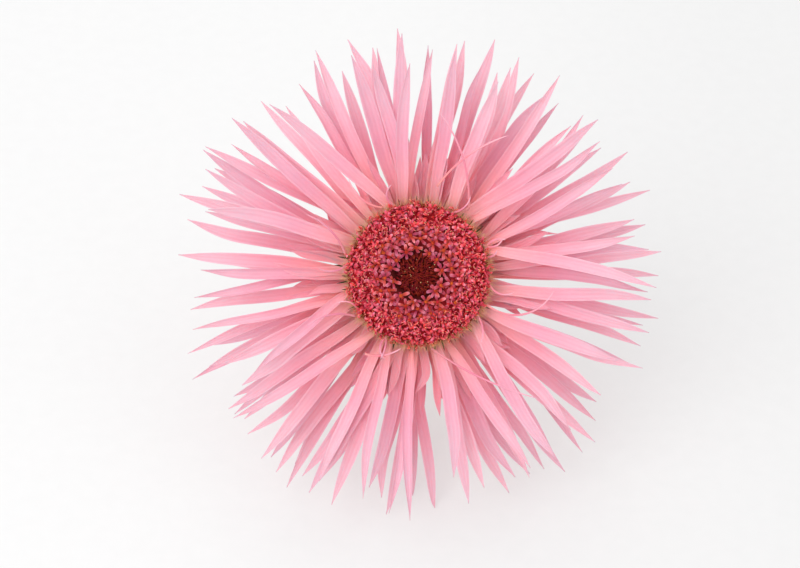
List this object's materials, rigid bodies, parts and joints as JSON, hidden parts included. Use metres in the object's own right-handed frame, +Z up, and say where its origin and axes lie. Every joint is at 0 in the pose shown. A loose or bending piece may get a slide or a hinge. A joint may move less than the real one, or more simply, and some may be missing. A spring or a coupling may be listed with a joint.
{
  "type": "cut gerbera",
  "caption": "Pink spider gerbera cut on a short curved stem, with narrow pointed petals round a crimson eye with a dark centre, leaning back as it lies on a table.",
  "frame": {"origin": "on the table, under the middle of the flower's bounding box", "axes": "+Z up from the table; +Y along the lying stem, from the head to the cut end; the face of the flower looks up and towards -Y, 50 degrees away from straight up"},
  "size_m": [0.1188, 0.1776, 0.0994],
  "materials": {
    "petal_pink": "matte",
    "bract_green": "matte",
    "stem_green": "satin",
    "receptacle_flesh": "matte",
    "pappus_bristle": "matte",
    "floret_crimson": "matte",
    "floret_rose": "matte",
    "bud_maroon": "matte"
  },
  "bodies": {
    "root": {"receptacle": "receptacle_flesh", "involucre": "bract_green", "pappus": "pappus_bristle", "rim_florets": "floret_crimson", "open_florets": "floret_rose", "centre_buds": "bud_maroon", "stem": "stem_green", "outer_petal_01": "petal_pink", "outer_petal_02": "petal_pink", "outer_petal_03": "petal_pink", "outer_petal_04": "petal_pink", "outer_petal_05": "petal_pink", "outer_petal_06": "petal_pink", "outer_petal_07": "petal_pink", "outer_petal_08": "petal_pink", "outer_petal_09": "petal_pink", "outer_petal_10": "petal_pink", "outer_petal_11": "petal_pink", "outer_petal_12": "petal_pink", "outer_petal_13": "petal_pink", "outer_petal_14": "petal_pink", "outer_petal_15": "petal_pink", "outer_petal_16": "petal_pink", "outer_petal_17": "petal_pink", "outer_petal_18": "petal_pink", "outer_petal_19": "petal_pink", "outer_petal_20": "petal_pink", "outer_petal_21": "petal_pink", "outer_petal_22": "petal_pink", "outer_petal_23": "petal_pink", "outer_petal_24": "petal_pink", "inner_petal_01": "petal_pink", "inner_petal_02": "petal_pink", "inner_petal_03": "petal_pink", "inner_petal_04": "petal_pink", "inner_petal_05": "petal_pink", "inner_petal_06": "petal_pink", "inner_petal_07": "petal_pink", "inner_petal_08": "petal_pink", "inner_petal_09": "petal_pink", "inner_petal_10": "petal_pink", "inner_petal_11": "petal_pink", "inner_petal_12": "petal_pink", "inner_petal_13": "petal_pink", "inner_petal_14": "petal_pink", "inner_petal_15": "petal_pink", "inner_petal_16": "petal_pink", "stray_petal_01": "petal_pink", "stray_petal_02": "petal_pink", "stray_petal_03": "petal_pink", "stray_petal_04": "petal_pink", "stray_petal_05": "petal_pink", "second_spray_01": "petal_pink", "second_spray_02": "petal_pink", "second_spray_03": "petal_pink", "second_spray_04": "petal_pink", "third_spray_01": "petal_pink", "third_spray_02": "petal_pink", "third_spray_03": "petal_pink", "third_spray_04": "petal_pink"}
  },
  "joints": []
}
